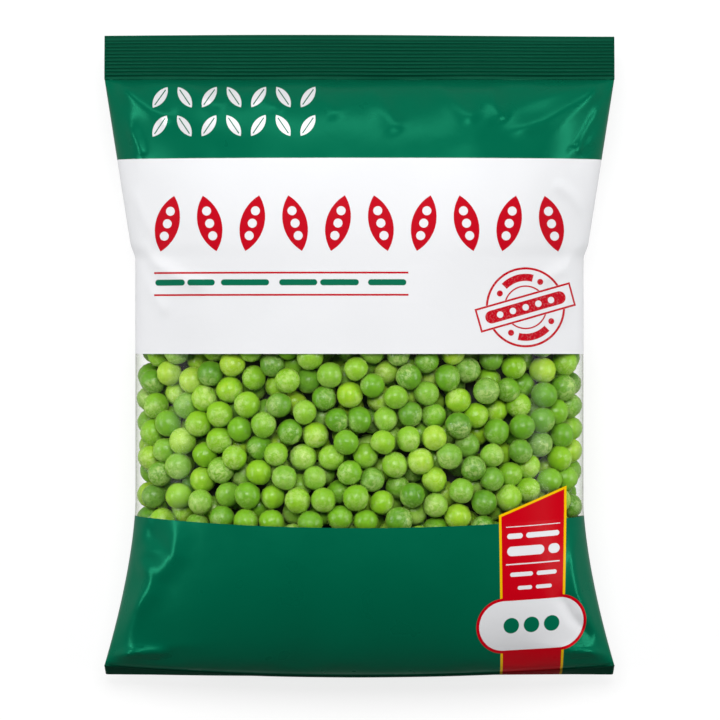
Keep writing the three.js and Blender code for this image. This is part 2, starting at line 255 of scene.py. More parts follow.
# Fine folds of the film that the solids leave out: points along each, half width, height
LONG_FOLD = [
    (-99, -86),
    (-97, -98),
    (-98, -107),
    (-103, -114),
    (-109, -120),
    (-111, -128),
    (-120, -139),
    (-131, -161),
]
FOLDS = [
    (LONG_FOLD, 6.2, 2.8),
    ([(-100, -106), (-112, -107), (-117, -111), (-114, -116), (-107, -119)], 4.0, 2.0),
    ([(-112, -84), (-112, -92), (-118, -104)], 3.0, 1.6),
    ([(-134, -164.5), (-118, -161), (-98, -159)], 2.4, 3.0),
    ([(118, -91), (112, -107), (115, -129), (132, -162)], 4.6, 2.5),
    ([(134, -164), (122, -161), (106, -159)], 2.4, 2.8),
    ([(104, -128), (112, -142), (126, -156)], 3.0, -1.4),
    ([(134, 148), (117, 136), (98, 124), (74, 116)], 5.0, 2.2),
    ([(131, 136), (122, 123), (116, 111), (115, 104)], 2.2, 1.6),
    ([(126, 116), (118, 110), (108, 107)], 1.8, 1.0),
    ([(-133, 148), (-121, 139), (-109, 129), (-96, 124)], 5.0, 2.2),
    ([(-121, 120), (-117, 113), (-114, 104)], 2.6, 1.4),
    ([(5, 146), (12, 131), (22, 116)], 5.0, 2.4),
    ([(38, 146), (49, 134), (62, 122)], 5.0, 2.2),
    ([(69, 146), (71, 133), (75, 122)], 4.4, 1.9),
    ([(-60, 146), (-52, 136), (-40, 128)], 5.0, 1.8),
    ([(-24, 146), (-20, 135), (-10, 124)], 4.6, 1.6),
    ([(-92, 146), (-84, 138), (-70, 130)], 5.0, 1.8),
    ([(-118, 60), (-106, 48), (-92, 40), (-76, 35)], 3.4, 1.4),
    ([(-119, 52), (-110, 34), (-99, 20)], 3.0, 1.1),
    ([(-121, 88), (-112, 70), (-104, 58)], 3.6, 1.1),
    ([(119, 60), (108, 46), (94, 38)], 3.4, 1.4),
    ([(120, 74), (112, 84), (101, 92)], 3.4, 1.1),
    ([(118, 50), (110, 30), (104, 14)], 2.8, 1.1),
]
FOLD_START = 0.25
FOLD_TAPER = 0.2
FOLD_SHARPNESS = 1.8
WAVE_HEIGHT = 0.22
WAVE_FADE = 20
SIDE_MARGIN = 0.08


def crowded(u, share):
    """The same places, closer together towards an end at 1 or -1."""
    return share * np.sin(u * np.pi / 2) + (1 - share) * u


def film_columns(count):
    """Places across the bag from -1 to 1, closer together towards the sides."""
    return crowded(np.linspace(-1, 1, count + 1), 0.6)


def around(front, back):
    """One row round the bag: across the front, then back along the underside."""
    return np.concatenate([front, back[::-1][1:]])


def pressed(row):
    """A row with its front and underside brought together, which closes the film."""
    return (row + row[::-1]) / 2


def fold_line(x, y, points, width, height):
    """A soft ridge along a run of points, lower towards both ends."""
    nearest = np.full(x.shape, 1e9)
    place = np.zeros(x.shape)
    for number, ((ax, ay), (bx, by)) in enumerate(zip(points, points[1:])):
        span = (bx - ax) ** 2 + (by - ay) ** 2
        t = clamp01(((x - ax) * (bx - ax) + (y - ay) * (by - ay)) / span)
        away = np.hypot(x - ax - t * (bx - ax), y - ay - t * (by - ay))
        closer = away < nearest
        nearest = np.where(closer, away, nearest)
        place = np.where(closer, (number + t) / (len(points) - 1), place)
    rise = FOLD_START + (1 - FOLD_START) * ease(place / FOLD_TAPER)
    taper = rise * ease((1 - place) / FOLD_TAPER)
    return height * taper * np.exp(-((nearest / width) ** FOLD_SHARPNESS))


def fine_relief(s, y):
    """Folds and slight waves of the thin film, added to the smooth skin in millimetres."""
    x = s * half_width(y)
    total = np.zeros(np.broadcast(x, y).shape)
    for one in FOLDS:
        total = total + fold_line(x, y, *one)
    from_window = np.maximum(y - WINDOW_TOP, WINDOW_BOTTOM - y)
    wave = WAVE_HEIGHT * np.sin(x / 17 + 0.8 * np.sin(y / 23)) * np.sin(y / 19 + 1.1 * np.sin(x / 29))
    total = total + (WAVE_HEIGHT + wave) * ease(from_window / WAVE_FADE)
    return total * ease((1 - np.abs(s)) / SIDE_MARGIN)


def film_row(s, y, inset=0.0):
    """Points round the bag at y, on the film's outside or inset into it."""
    y = np.full_like(s, y)
    front = skin(True, s, y, inset)
    front[:, 2] += fine_relief(s, y)
    back = skin(False, s, y, inset)
    x = np.abs(s * half_width(y))
    back[:, 2] += SEAM_STEP * (1 - ease((x - SEAM_HALF_WIDTH) / SEAM_SLOPE))
    return around(front, back)


def ribs(x, depth):
    """How far the crimp's ribs stand out at this depth down a seal."""
    phase = (depth - RIB_MARGIN) / RIB_PITCH + 0.06 * np.sin(x / 13)
    inside = ease(phase * 4) * ease((RIB_COUNT - phase) * 4)
    return RIB_HEIGHT * (0.5 - 0.5 * np.cos(2 * np.pi * phase)) * inside


def top_seal(x, depth, lift):
    """The flat seal, which droops a little towards its cut edge."""
    share = depth / SEAL_DEPTH
    cut = 0.5 * np.cos(x / 62 + 0.6) - 0.5
    wave = 0.7 * np.sin(x / 31 + 1) + 0.4 * np.sin(x / 13)
    calm = 1 - (x / (FLAT_WIDTH / 2)) ** 2
    z = SEAL_HEIGHT - TOP_DROOP * share**2 + wave * share * calm
    return np.stack([x, TOP_ROOT + depth + cut * share**2, z + lift], axis=-1)


def bottom_seal(x, depth, lift):
    """The folded seal, which turns round its fold and hangs straight down over the end."""
    turn = min(depth / FOLD_RADIUS, math.pi / 2)
    down = max(depth - FOLD_RADIUS * math.pi / 2, 0.0)
    run = down / (SEAL_DEPTH - FOLD_RADIUS * math.pi / 2)
    tip = BOTTOM_ROOT + 0.3 + 0.3 * np.sin(x / 40)
    root = BOTTOM_ROOT + EAR_RISE * (x / (FLAT_WIDTH / 2)) ** 2
    y = mix(root, tip, run) - FOLD_RADIUS * math.sin(turn) - lift * math.sin(turn)
    z = SEAL_HEIGHT - FOLD_RADIUS * (1 - math.cos(turn)) - down + lift * math.cos(turn)
    return np.stack([x, y, z], axis=-1)


def seal_rows(s, place):
    """Rows down a seal from the bag to its cut edge, and how far down each lies."""
    x = s * FLAT_WIDTH / 2
    edge = ease((1 - np.abs(s)) / 0.006)
    half = edge * SHEET_THICKNESS / 2
    fold = FOLD_RADIUS * math.pi / 2 * np.arange(1, FOLD_STEPS + 1) / FOLD_STEPS
    rib_depths = RIB_MARGIN + np.arange(RIB_COUNT * RIB_STEPS + 1) / RIB_STEPS * RIB_PITCH
    depths = np.concatenate([fold, rib_depths, [22.2, 23.2, SEAL_DEPTH]])
    rows = []
    for depth in depths:
        rib = ribs(x, depth) * edge
        rows.append(around(place(x, depth, rib + half), place(x, depth, rib - half)))
    rows.append(pressed(rows[-1]))
    return rows, np.append(depths, SEAL_DEPTH)


def towards_seal(start, root, count):
    """Rows from the window to a seal, closer together towards the seal."""
    return start + (root - start) * crowded(np.linspace(0, 1, count + 1), 0.28)


def clean_start():
    """Leaves nothing selected for the next operator."""
    bpy.ops.object.select_all(action="DESELECT")


def closed_film(name, rows, alongs, s):
    """Makes a grid, lays its rows round the bag, and closes it along its side and both ends."""
    rows = np.array(rows)
    tall, wide = rows.shape[:2]
    clean_start()
    bpy.ops.mesh.primitive_grid_add(x_subdivisions=wide - 1, y_subdivisions=tall - 1, calc_uvs=False)
    piece = bpy.context.object
    piece.name = piece.data.name = name
    mesh = piece.data
    mesh.vertices.foreach_set("co", (rows * MM).astype(np.float32).ravel())
    print_at = rows[..., :2].copy()
    print_at[:, len(s):, 0] += BACK_SHIFT
    print_at[..., 1] = np.asarray(alongs)[:, None]
    corners = np.empty(len(mesh.loops), dtype=np.int32)
    mesh.loops.foreach_get("vertex_index", corners)
    layer = mesh.uv_layers.new(name="Print")
    layer.data.foreach_set("uv", (print_at.reshape(-1, 2)[corners] * MM).astype(np.float32).ravel())
    weld()
    return piece


def weld():
    """Closes the active piece, turns its faces outwards and smooths it."""
    bpy.ops.object.mode_set(mode="EDIT")
    bpy.ops.mesh.select_all(action="SELECT")
    bpy.ops.mesh.remove_doubles(threshold=WELD_DISTANCE)
    bpy.ops.mesh.normals_make_consistent(inside=False)
    bpy.ops.object.mode_set(mode="OBJECT")
    bpy.ops.object.shade_smooth_by_angle(angle=math.radians(SMOOTH_BELOW))


def film_end(name, window_edge, root, place, count, side):
    """One printed end of the bag: its inner wall, its outer wall and its seal."""
    s = film_columns(FILM_COLUMNS)
    inner_ys = towards_seal(window_edge, root - side * INNER_STOP, count // 3)[::-1]
    outer_ys = towards_seal(window_edge, root, count)
    rows = [film_row(s, y, WALL) for y in inner_ys]
    rows = [pressed(rows[0])] + rows
    rows += [film_row(s, y) for y in outer_ys]
    seal, depths = seal_rows(s, place)
    alongs = np.concatenate([[inner_ys[0]], inner_ys, outer_ys, root + side * depths])
    return closed_film(name, rows + seal, alongs, s)


def film_middle(name):
    """The clear ring between the two printed ends: an outer wall and an inner one."""
    s = film_columns(FILM_COLUMNS)
    ys = np.linspace(WINDOW_TOP, WINDOW_BOTTOM, WINDOW_ROWS)
    inner_ys = ys[::-2]
    rows = [film_row(s, y) for y in ys] + [film_row(s, y, WALL) for y in inner_ys]
    rows.append(rows[0])
    alongs = np.concatenate([ys, inner_ys, [WINDOW_TOP]])
    return closed_film(name, rows, alongs, s)


def seam_strip(name):
    """The lapped seam along the underside, from one seal to the other."""
    s = np.linspace(-1, 1, SEAM_COLUMNS)
    upper, middle, lower = SEAM_ROWS
    ys = np.concatenate([
        towards_seal(WINDOW_TOP, TOP_ROOT - 1, upper)[::-1],
        np.linspace(WINDOW_TOP, WINDOW_BOTTOM, middle)[1:-1],
        towards_seal(WINDOW_BOTTOM, BOTTOM_ROOT + 1, lower),
    ])
    rows = []
    for y in ys:
        x = s * (SEAM_HALF_WIDTH + 0.25 * math.sin(y / 21))
        outside = skin(False, x / half_width(y), np.full_like(s, y))
        outside[:, 2] = np.maximum(outside[:, 2], 0)
        inside = outside + [0, 0, SEAM_THICKNESS]
        round_edge = SEAM_THICKNESS / 2 * (1 - ease((1 - np.abs(s)) / 0.04))
        outside[:, 2] += round_edge
        inside[:, 2] -= round_edge
        rows.append(around(inside, outside))
    rows = [pressed(rows[0])] + rows + [pressed(rows[-1])]
    alongs = np.concatenate([[ys[0]], ys, [ys[-1]]])
    piece = closed_film(name, rows, alongs, s)
    shifted = piece.data.uv_layers["Print"].data
    places = np.empty(len(shifted) * 2, dtype=np.float32)
    shifted.foreach_get("uv", places)
    places[0::2] = BACK_SHIFT * MM
    shifted.foreach_set("uv", places)
    return piece


# Peas: how they are spread, how far they sink below the film, and how those behind nestle in

PEA_SEED = 20
PEA_SPACING = 13.9
PEA_SPREAD = 0.7
PEA_SWELL = 1.03
PEA_SHAKE = 1.15
PEA_SINK = 5.8
COVERED_SINK = 4.0
COVERED_MARGIN = 2.0
COVERED_FADE = 8.0
SIDE_TOUCH = 0.14
TRACK_STEPS = 200
RELAX_ROUNDS = 60
RELAX_SHARE = 0.3
RAY_COLUMNS = 84
RAY_ROWS = 42
RAY_REACH = 0.985
RAY_OVERLAP = 2.0
RAY_LENGTH = 20.0
DEEPEST = 28.0
NESTLE_SHARE = 0.85
# The frost caps lean towards the bag's foot, so besides frost they paint pale bounced light on the lower
# side of each pea.
RIME_BOUNCE_LEAN = (0.0, -0.8, 0.2)
CORE_DEPTH = 30.0
CORE_MARGIN = 8.0
CORE_STRETCH = 1.16
TINY = 1e-6


def pea_track(diameter):
    """The loop round the bag that the outer peas lie on, as places across and their lengths."""
    y = (WINDOW_TOP + WINDOW_BOTTOM) / 2
    t = np.arange(TRACK_STEPS) / TRACK_STEPS
    front, back = np.sin((t - 0.5) * np.pi), np.sin((0.5 - t) * np.pi)
    inset = diameter / 2 + GAP
    points = np.concatenate([skin(True, front, y, inset), skin(False, back, y, inset)])
    gaps = np.linalg.norm(np.roll(points, -1, axis=0) - points, axis=1)
    return np.concatenate([front, back]), np.cumsum(gaps) - gaps, gaps.sum()


def spread_apart(along, ys, radii, sinks, total):
    """Moves peas that overlap away from each other, round after round."""
    touching = radii[:, None] + radii[None, :]
    wanted = np.sqrt(touching**2 - (sinks[:, None] - sinks[None, :]) ** 2)
    np.fill_diagonal(wanted, 0)
    for _ in range(RELAX_ROUNDS):
        dx = along[None, :] - along[:, None]
        dx -= total * np.round(dx / total)
        dy = ys[None, :] - ys[:, None]
        apart = np.hypot(dx, dy) + 1e-9
        push = np.maximum(wanted - apart, 0) / apart * RELAX_SHARE
        along = along - (dx * push).sum(axis=1)
        ys = ys - (dy * push).sum(axis=1)
    return along, ys


def outer_peas(diameter):
    """Centres and radii of the peas that lie against the film, all the way round."""
    sides, lengths, total = pea_track(diameter)
    chance = np.random.default_rng(PEA_SEED)
    count = round(total / PEA_SPACING)
    pitch = total / count
    low, high = WINDOW_BOTTOM - diameter / 2, WINDOW_TOP + diameter / 2
    rows = round((high - low) / (PEA_SPACING * math.sqrt(3) / 2)) + 1
    row, column = (grid.ravel() for grid in np.mgrid[0:rows, 0:count])
    shake = (chance.random((2, row.size)) - 0.5) * PEA_SHAKE * pitch
    along = (column + row % 2 / 2) * pitch + shake[0]
    ys = mix(low, high, row / (rows - 1)) + shake[1]
    radii = (diameter + (chance.random(row.size) - 0.5) * 2 * PEA_SPREAD) / 2
    stops = np.searchsorted(lengths, along % total, side="right") - 1
    inward = ease((1 - np.abs(sides[stops])) / SIDE_TOUCH)
    sinks = PEA_SINK * chance.random(row.size) ** 1.6 * inward
    covered = np.maximum(ys - WINDOW_TOP, WINDOW_BOTTOM - ys) + COVERED_MARGIN
    sinks += COVERED_SINK * clamp01(covered / COVERED_FADE)
    along, ys = spread_apart(along, ys, radii, sinks, total)
    stops = np.searchsorted(lengths, along % total, side="right") - 1
    depths = radii * PEA_SWELL + GAP + sinks
    fronts = skin(True, sides[stops], ys, depths)
    centres = np.where((stops < TRACK_STEPS)[:, None], fronts, skin(False, sides[stops], ys, depths))
    centres[:, 2] = np.maximum(centres[:, 2], radii * PEA_SWELL + SEAM_STEP + 0.1)
    return centres, radii


def clear_depth(depth, start, way, centres, reaches):
    """The first depth from this one on at which a pea on the ray touches no other pea."""
    offset = centres - start
    ahead = offset @ way
    room = reaches**2 - ((offset**2).sum(axis=1) - ahead**2)
    hit = room > 0
    middle, half = ahead[hit], np.sqrt(room[hit])
    while True:
        inside = (middle - half < depth - TINY) & (depth < middle + half - TINY)
        if not inside.any():
            return depth
        depth = (middle + half)[inside].max()


def nestle(centres, radii, diameter):
    """Adds peas behind the outer ones, each in the shallowest hollow that is left."""
    s = crowded(np.linspace(-RAY_REACH, RAY_REACH, RAY_COLUMNS), 0.5)
    ys = np.linspace(WINDOW_BOTTOM - RAY_OVERLAP, WINDOW_TOP + RAY_OVERLAP, RAY_ROWS)
    s, ys = (grid.ravel() for grid in np.meshgrid(s, ys))
    starts = np.concatenate([skin(front, s, ys) for front in (True, False)])
    ways = np.concatenate([skin(front, s, ys, RAY_LENGTH) for front in (True, False)]) - starts
    ways /= np.linalg.norm(ways, axis=1)[:, None]
    chance = np.random.default_rng(PEA_SEED)
    centres, reaches = list(centres), list(radii)
    radius = diameter / 2 - PEA_SPREAD / 2
    queue = [(radius + GAP, number) for number in range(len(starts))]
    while queue:
        depth, number = heapq.heappop(queue)
        near_enough = np.array(reaches) + radius * NESTLE_SHARE
        found = clear_depth(depth, starts[number], ways[number], np.array(centres), near_enough)
        if found > DEEPEST:
            continue
        if found > depth + TINY:
            heapq.heappush(queue, (found, number))
            continue
        centres.append(starts[number] + ways[number] * depth)
        reaches.append(radius)
        radius = (diameter + (chance.random() - 0.5) * 2 * PEA_SPREAD) / 2
    return np.array(centres), np.array(reaches)


def rounded_pea(cuts):
    """The points and faces of one round pea, from a cube that is cut finer and made round."""
    clean_start()
    bpy.ops.mesh.primitive_cube_add(size=2)
    bpy.ops.object.mode_set(mode="EDIT")
    bpy.ops.mesh.select_all(action="SELECT")
    bpy.ops.mesh.subdivide(number_cuts=cuts)
    bpy.ops.transform.tosphere(value=1)
    bpy.ops.object.mode_set(mode="OBJECT")
    ball = bpy.context.object
    points = np.array([vertex.co for vertex in ball.data.vertices])
    points /= np.linalg.norm(points, axis=1)[:, None]
    faces = np.array([list(face.vertices) for face in ball.data.polygons])
    bpy.ops.object.delete()
    return points, faces


def turned(points, chance):
    """Points turned by chance."""
    axes, _ = np.linalg.qr(chance.normal(size=(3, 3)))
    return points @ (axes * np.sign(np.linalg.det(axes)))


def shape_pea(points, chance):
    """One pea of its own: slightly oval, with a dimple or two and a few soft lumps."""
    points = turned(points, chance)
    size = np.ones(len(points))
    for _ in range(chance.integers(1, 4)):
        way = chance.normal(size=3)
        away = 1 - points @ (way / np.linalg.norm(way))
        size -= chance.uniform(0.02, 0.085) * np.exp(-((away / chance.uniform(0.08, 0.3)) ** 2))
    way = chance.normal(size=3) * 2.2
    size -= 0.008 * (1 + np.sin(points @ way + chance.uniform(0, 6)))
    oval = PEA_SWELL - chance.uniform(0, 0.05, size=3)
    return turned(points * size[:, None] * oval, chance)


def rime_and_bounce_caps(points, chance):
    """Where frost gathers on one pea: on a few caps with soft edges. They lean towards the bag's foot,
    so they also paint pale bounced light on the pea's lower side.
    """
    total = np.zeros(len(points))
    for _ in range(chance.integers(2, 5)):
        way = chance.normal(size=3) + RIME_BOUNCE_LEAN
        nearness = points @ (way / np.linalg.norm(way)) / np.linalg.norm(points, axis=1)
        edge = chance.uniform(0.25, 0.8)
        total = np.maximum(total, ease((nearness - edge) / 0.35) * chance.uniform(0.3, 1.0))
    return total


def pea_mesh(name, centres, radii, fine_count):
    """All the peas as one mesh, the outer ones finer, each with its own tone, veil, and rime that also
    paints bounced light.
    """
    chance = np.random.default_rng(PEA_SEED + 1)
    fine, coarse = rounded_pea(FINE_CUTS), rounded_pea(COARSE_CUTS)
    points, faces = [], []
    painted = {"tone": [], "veil": [], "rime": []}
    start = 0
    for number, (centre, radius) in enumerate(zip(centres, radii)):
        ball, ball_faces = fine if number < fine_count else coarse
        shape = shape_pea(ball, chance)
        points.append(centre + radius * shape)
        faces.append(ball_faces + start)
        start += len(ball)
        painted["tone"].append(np.full(len(ball), chance.random()))
        painted["veil"].append(np.full(len(ball), chance.random() ** 3))
        painted["rime"].append(rime_and_bounce_caps(shape, chance))
    clean_start()
    bpy.ops.mesh.primitive_cube_add(size=0.01)
    piece = bpy.context.object
    piece.name = name
    mesh = bpy.data.meshes.new(name)
    mesh.from_pydata((np.concatenate(points) * MM).tolist(), [], np.concatenate(faces).tolist())
    old, piece.data = piece.data, mesh
    bpy.data.meshes.remove(old)
    for label, values in painted.items():
        layer = mesh.attributes.new(label, "FLOAT", "POINT")
        layer.data.foreach_set("value", np.concatenate(values).astype(np.float32))
    bpy.ops.object.shade_smooth()
    return piece


def core_mesh(name):
    """The mass behind the peas that show, which its material paints near black as shadow."""
    s = film_columns(CORE_COLUMNS)
    ys = np.linspace(WINDOW_TOP + CORE_MARGIN, WINDOW_BOTTOM - CORE_MARGIN, CORE_ROWS)
    rows = []
    for y in ys:
        y = np.full_like(s, y)
        row = around(skin(True, s, y, CORE_DEPTH, relief=False), skin(False, s, y, CORE_DEPTH))
        rows.append(row * [CORE_STRETCH, 1, 1])
    rows = [pressed(rows[0])] + rows + [pressed(rows[-1])]
    return closed_film(name, rows, np.concatenate([[ys[0]], ys, [ys[-1]]]), s)


# Materials

# The print, in millimetres. A row is its two ends, its count, its height and its lean in degrees.
PRINT_SOFTNESS = 0.12
BAND_MIDDLE = 51.3
BAND_REACH = 52.3
POD_ROW = (-112, 112, 10, 69.3, 14)
POD_SIZE = (12.6, 30)
POD_PEAS = {"step": 6.7, "radius": 2.35}
LEAF_ROWS = [(-111.5, -20.5, 7, height, 34) for height in (136.2, 120.8)]
LEAF_SIZE = (5.6, 13.4)
LEAF_RIB = (0.28, 5.0)
RULES = [(-107.9, 25.6, 42.95, 43.95), (-107.9, 25.6, 31.35, 32.35)]
WORDS = [(-107.3, -91.5), (-90.2, -75.7), (-72.5, -47.2), (-41.9, -22), (-20.5, -0.3), (4.5, 24.5)]
WORD_HEIGHTS = (36.8, 40.0)

# The stamp: rings and arcs as radius and half width, and the bar as half length and half width
STAMP_PLACE = (87.1, 25.4)
STAMP_TILT = 16
STAMP_RINGS = [(20.4, 0.6), (11.1, 0.4)]
STAMP_ARCS = (15.7, 1.9)
STAMP_WEDGE = 30
STAMP_DOTS = (11.1, 10.7, 1.6)
STAMP_FRAME = (26.2, 6.4)
STAMP_INSIDE = (25.2, 5.35)
STAMP_BAR = (22, 3.4)
STAMP_HOLES = (17.5, 5, 1.7)

# The ribbon's sides, each from its top to its foot, its slanting top and the marks on it
RIBBON_LEFT = (73.0, 74.4)
RIBBON_RIGHT = (108.9, 107.4)
RIBBON_TOP = (-85.6, -72.6)
RIBBON_FOOT = -170.0
RIBBON_BORDER = 1.25
RIBBON_RULES = [(76.8, 105.4, -92.3, -91.9), (76.8, 105.2, -112.0, -111.4)]
RIBBON_BARS = [
    ([(77.4, 85.6), (87.4, 105.0)], -98.4, -95.6),
    ([(77.4, 97.0), (99.2, 105.2)], -107.4, -102.4),
    ([(79.0, 91.0), (93.0, 103.6)], -118.2, -116.0),
    ([(83.0, 90.6), (92.6, 101.0)], -125.2, -123.2),
]
LABEL_BOX = (61.3, 119.5, -158.5, -129.2)
LABEL_RIM = 1.55
LABEL_DISCS = (74.4, 106.4, 3)
DISC_RADIUS = 4.1

# How far out from the middle the clear film's tint starts, and over what width it grows. The tint is
# partly whitened film along the side folds and partly a painted sheen of the rim.
TINT_START = 113.0
TINT_WIDTH = 6.0


def pair_method(operation, flipped=False):
    """A method that adds a Math node. It is flipped where a plain number comes first."""

    def method(self, other):
        values = (other, self) if flipped else (self, other)
        return self.math(operation, *values)

    return method


class Wire:
    """A socket that carries a value. Arithmetic on it adds Math nodes to its material.

    | gives the larger value, so where shapes overlap or either mask covers, and & the smaller.
    """

    def __init__(self, finish, socket):
        self.finish = finish
        self.socket = socket

    def math(self, operation, *values, clamp=False):
        return self.finish.add("ShaderNodeMath", {"operation": operation, "use_clamp": clamp}, values)

    __add__ = __radd__ = pair_method("ADD")
    __sub__ = pair_method("SUBTRACT")
    __rsub__ = pair_method("SUBTRACT", flipped=True)
    __mul__ = __rmul__ = pair_method("MULTIPLY")
    __truediv__ = pair_method("DIVIDE")
    __pow__ = pair_method("POWER")
    __mod__ = pair_method("FLOORED_MODULO")
    __or__ = pair_method("MAXIMUM")
    __and__ = pair_method("MINIMUM")

    def __abs__(self):
        return self.math("ABSOLUTE", self)

    def floor(self):
        return self.math("FLOOR", self)

    def root(self):
        return self.math("SQRT", self)

    def kept(self, low=0.0, high=1.0):
        """Runs from 0 to 1 as the value goes from low to high, and stays within them."""
        scale = 1 / (high - low)
        return self.math("MULTIPLY_ADD", self, scale, -low * scale, clamp=True)

    def other(self, name):
        """Another output of the same node."""
        return Wire(self.finish, self.socket.node.outputs[name])


class Finish:
    """A material in the making. Every node comes from its add method."""

    def __init__(self, name, store="materials"):
        self.block = getattr(bpy.data, store).new(name)
        self.block.use_nodes = True
        self.tree = self.block.node_tree
        self.tree.nodes.clear()

    def add(self, kind, settings=None, values=(), output=0):
        node = self.tree.nodes.new(kind)
        for key, value in (settings or {}).items():
            setattr(node, key, value)
        pairs = values.items() if isinstance(values, dict) else enumerate(values)
        for key, value in pairs:
            if isinstance(value, Wire):
                self.tree.links.new(value.socket, node.inputs[key])
            else:
                node.inputs[key].default_value = value
        return Wire(self, node.outputs[output]) if len(node.outputs) else node

    def ramp(self, share, stops):
        """A colour that runs through several, by share."""
        wire = self.add("ShaderNodeValToRGB", values=(share,))
        elements = wire.socket.node.color_ramp.elements
        while len(elements) < len(stops):
            elements.new(0.5)
        for element, (place, colour) in zip(elements, stops):
            element.position = place
            element.color = (*colour, 1)
        return wire

    def blend(self, share, first, second):
        """A colour between two, by share."""
        first, second = (c if isinstance(c, Wire) else (*c, 1) for c in (first, second))
        return self.add("ShaderNodeMix", {"data_type": "RGBA"}, {0: share, 6: first, 7: second}, 2)

    def object_point(self):
        return self.add("ShaderNodeTexCoord", output="Object")

    def noise(self, scale, detail, roughness=0.5, distortion=0.0):
        values = {"Vector": self.object_point(), "Scale": scale, "Detail": detail}
        values.update({"Roughness": roughness, "Distortion": distortion})
        return self.add("ShaderNodeTexNoise", values=values)

    def bump(self, height, depth, strength, **under):
        values = {"Height": height, "Distance": depth, "Strength": strength, **under}
        return self.add("ShaderNodeBump", values=values)

    def surface(self, **values):
        """The main shader, with its sockets named by words joined with underscores."""
        named = {}
        for key, value in values.items():
            plain_colour = key.endswith(("Color", "Tint")) and not isinstance(value, Wire)
            named[key.replace("_", " ")] = (*value, 1) if plain_colour else value
        return self.add("ShaderNodeBsdfPrincipled", values=named)

    def done(self, shader, output="ShaderNodeOutputMaterial"):
        self.add(output, values={"Surface": shader})
        return self.block


def filled(distance):
    """1 inside a shape and 0 outside, from the distance to its edge."""
    return distance.kept(PRINT_SOFTNESS, -PRINT_SOFTNESS)


def nearest_of(distances):
    """Distance to the nearest of several shapes."""
    return functools.reduce(operator.and_, distances)


def length_of(x, y):
    return (x * x + y * y).root()


def centred(x, y, half_across, half_up):
    """Distance to a rectangle round the middle."""
    return (abs(x) - half_across) | (abs(y) - half_up)


def bar(x, y, left, right, low, high):
    """Distance to a rectangle."""
    across, up = x - (left + right) / 2, y - (low + high) / 2
    return centred(across, up, (right - left) / 2, (high - low) / 2)


def pill(x, y, left, right, low, high):
    """Distance to a bar with round ends."""
    radius = (high - low) / 2
    straight = (right - left) / 2 - radius
    across = (abs(x - (left + right) / 2) - straight) | 0.0
    return length_of(across, y - (low + high) / 2) - radius


def pointed_oval(x, y, width, height):
    """Distance to a pod or leaf: what two equal discs have in common."""
    radius = (width**2 + height**2) / (4 * width)
    return length_of(abs(x) + (radius - width / 2), y) - radius


def tilted(x, y, degrees):
    """The same place on axes that are turned anticlockwise."""
    angle = math.radians(degrees)
    return x * math.cos(angle) + y * math.sin(angle), y * math.cos(angle) - x * math.sin(angle)


def row_of(x, left, right, count):
    """Cuts a stretch into cells: the place across a cell, -1 or 1 by turns, and the stretch."""
    pitch = (right - left) / count
    cell = (x - left) / pitch
    number = cell.floor()
    turn = (number / 2 - (number / 2).floor()) * 4 - 1
    return (cell - number - 0.5) * pitch, turn, abs(x - (left + right) / 2) - (right - left) / 2


def leaning_row(x, y, left, right, count, middle, lean):
    """The place across and along a shape, in a row that leans to either side by turns."""
    across, turn, stretch = row_of(x, left, right, count)
    up = y - middle
    sine, cosine = math.sin(math.radians(lean)), math.cos(math.radians(lean))
    return across * cosine + up * turn * sine, up * cosine - across * turn * sine, stretch


def pod_row(x, y):
    """The row of large red pods, each with three pale peas."""
    across, up, stretch = leaning_row(x, y, *POD_ROW)
    pods = pointed_oval(across, up, *POD_SIZE) | stretch
    nearest = (((up / POD_PEAS["step"]) + 0.5).floor() | -1.0) & 1.0
    dots = length_of(across, up - nearest * POD_PEAS["step"]) - POD_PEAS["radius"]
    return filled(pods) * (1 - filled(dots))


def leaf_row(x, y, row):
    """A row of small leaves, each split by a fine rib."""
    across, up, stretch = leaning_row(x, y, *row)
    leaves = pointed_oval(across, up, *LEAF_SIZE) | stretch
    return filled(leaves) * (1 - filled(centred(across, up, *LEAF_RIB)))


def stamp(x, y):
    """A round ink stamp with a framed bar across it."""
    across, up = tilted(x - STAMP_PLACE[0], y - STAMP_PLACE[1], STAMP_TILT)
    away = length_of(across, up)
    outer, inner, arc = (abs(away - radius) - half for radius, half in (*STAMP_RINGS, STAMP_ARCS))
    wedge = abs(across) - abs(up) * math.tan(math.radians(STAMP_WEDGE))
    arcs = arc | wedge * 0.88
    dot_x, dot_y, dot_radius = STAMP_DOTS
    dots = length_of(abs(across) - dot_x, abs(up) - dot_y) - dot_radius
    frame, inside = centred(across, up, *STAMP_FRAME), centred(across, up, *STAMP_INSIDE)
    reach, half = STAMP_BAR
    solid = pill(across, up, -reach, reach, -half, half)
    holes_end, hole_count, hole_radius = STAMP_HOLES
    place, _, _ = row_of(across, -holes_end, holes_end, hole_count)
    holes = filled(length_of(place, up) - hole_radius) * filled(abs(across) - holes_end)
    round_part = filled(outer & inner & arcs & dots) * (1 - filled(frame))
    framed = filled(frame) * (1 - filled(inside))
    return round_part | framed | filled(solid) * (1 - holes)


def small_bars(x, y, spans, low, high):
    """A line of bars with round ends, in place of words."""
    return filled(nearest_of(pill(x, y, left, right, low, high) for left, right in spans))


def ribbon(x, y):
    """The red ribbon down the lower right: it with its yellow border, and its field alone."""
    (left_top, left_foot), (right_top, right_foot), (low, high) = RIBBON_LEFT, RIBBON_RIGHT, RIBBON_TOP
    down = ((low - y) / (low - RIBBON_FOOT)).kept()
    left = left_top + (left_foot - left_top) * down
    right = right_top + (right_foot - right_top) * down
    rise = (high - low) / (right_top - left_top)
    slant = (y - low - (x - left_top) * rise) / math.hypot(1, rise)
    edge = (left - x) | (x - right) | slant
    return filled(edge), filled(edge + RIBBON_BORDER)


